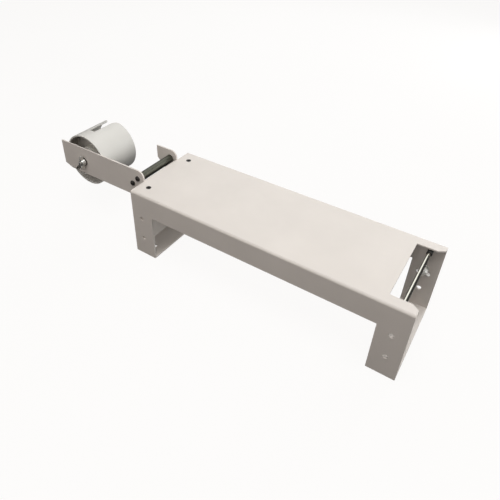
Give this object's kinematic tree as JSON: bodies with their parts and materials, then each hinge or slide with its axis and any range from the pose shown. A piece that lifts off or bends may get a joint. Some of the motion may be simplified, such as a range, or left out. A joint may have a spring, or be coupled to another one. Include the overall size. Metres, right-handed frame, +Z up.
{
  "type": "packing tape dispenser",
  "caption": "Bench-top packing tape dispenser: a folded sheet bench with a finger notch and rod, and an end bracket with guide rollers and a cantilevered tape hub.",
  "frame": {"origin": "on the counter, under the middle of the whole dispenser with its arm", "axes": "+X along the bench from the hub end to the notch end, +Y from the front skirt to the back, +Z up"},
  "size_m": [0.517, 0.12, 0.1275],
  "materials": {
    "grey_paint": "light warm grey powder coat",
    "hub_paint": "pale grey powder coat",
    "black_steel": "black oxide",
    "roller_steel": "dull turned steel",
    "zinc_steel": "zinc plated",
    "bright_rod": "ground and polished",
    "spring_wire": "drawn wire",
    "bronze": "sintered bronze",
    "black_plastic": "moulded nylon",
    "white_plastic": "turned nylon"
  },
  "bodies": {
    "bench": {"bench_frame": "grey_paint", "left_end_panel": "grey_paint", "right_foot_plate": "grey_paint", "tape_bracket": "grey_paint", "top_screws": "black_steel", "top_screw_nuts": "zinc_steel", "bracket_bolts": "zinc_steel", "bracket_washers": "zinc_steel", "bracket_nuts": "zinc_steel", "roller_bolts": "black_steel", "roller_nuts": "zinc_steel", "rod_sockets": "black_plastic", "leg_stud": "zinc_steel"},
    "axle": {"hub_axle": "zinc_steel", "thrust_washer": "zinc_steel", "spring_washers": "zinc_steel", "drag_spring": "spring_wire", "axle_lock_nut": "zinc_steel"},
    "hub": {"hub_tube": "hub_paint", "hub_web": "hub_paint", "hub_core": "white_plastic", "hub_bushes": "bronze"},
    "clamp_ring": {"clamp_washer": "black_steel"},
    "axle_nut": {"axle_wing_nut": "zinc_steel"},
    "upper_roller": {"guide_roller_upper": "roller_steel"},
    "lower_roller": {"guide_roller_lower": "roller_steel"},
    "rod": {"notch_rod": "bright_rod"},
    "leg_ring": {"leg_washer": "zinc_steel"},
    "leg_nut": {"leg_wing_nut": "zinc_steel"}
  },
  "joints": [
    {"name": "axle_slide", "type": "slide", "parent": "bench", "child": "axle", "axis": [-0.7071, 0, -0.7071], "range_m": [0, 0.022]},
    {"name": "hub_spin", "type": "hinge", "parent": "axle", "child": "hub", "pos_m": [-0.2155, 0, 0.0895], "axis": [0, 1, 0], "continuous": true},
    {"name": "axle_nut_turn", "type": "hinge", "parent": "clamp_ring", "child": "axle_nut", "pos_m": [-0.2155, 0, 0.0895], "axis": [0, -1, 0], "range_deg": [0, 812]},
    {"name": "clamp_washer_slide", "type": "slide", "parent": "axle", "child": "clamp_ring", "axis": [0, -1, 0], "range_m": [0, 0.0018]},
    {"name": "upper_roller_spin", "type": "hinge", "parent": "bench", "child": "upper_roller", "pos_m": [-0.112, 0, 0.0985], "axis": [0, 1, 0], "continuous": true},
    {"name": "lower_roller_spin", "type": "hinge", "parent": "bench", "child": "lower_roller", "pos_m": [-0.122, 0, 0.0883], "axis": [0, 1, 0], "continuous": true},
    {"name": "notch_rod_spin", "type": "hinge", "parent": "bench", "child": "rod", "pos_m": [0.2435, 0, 0.09175], "axis": [0, 1, 0], "continuous": true},
    {"name": "leg_nut_turn", "type": "hinge", "parent": "leg_ring", "child": "leg_nut", "pos_m": [0.243, 0, 0.06], "axis": [0, 1, 0], "range_deg": [0, 1545]},
    {"name": "leg_washer_slide", "type": "slide", "parent": "bench", "child": "leg_ring", "axis": [0, 1, 0], "range_m": [0, 0.003]}
  ],
  "couplings": [
    {"joint": "axle_nut_turn", "follows": "clamp_washer_slide", "rad_per_m": 7854},
    {"joint": "leg_nut_turn", "follows": "leg_washer_slide", "rad_per_m": 8976}
  ]
}
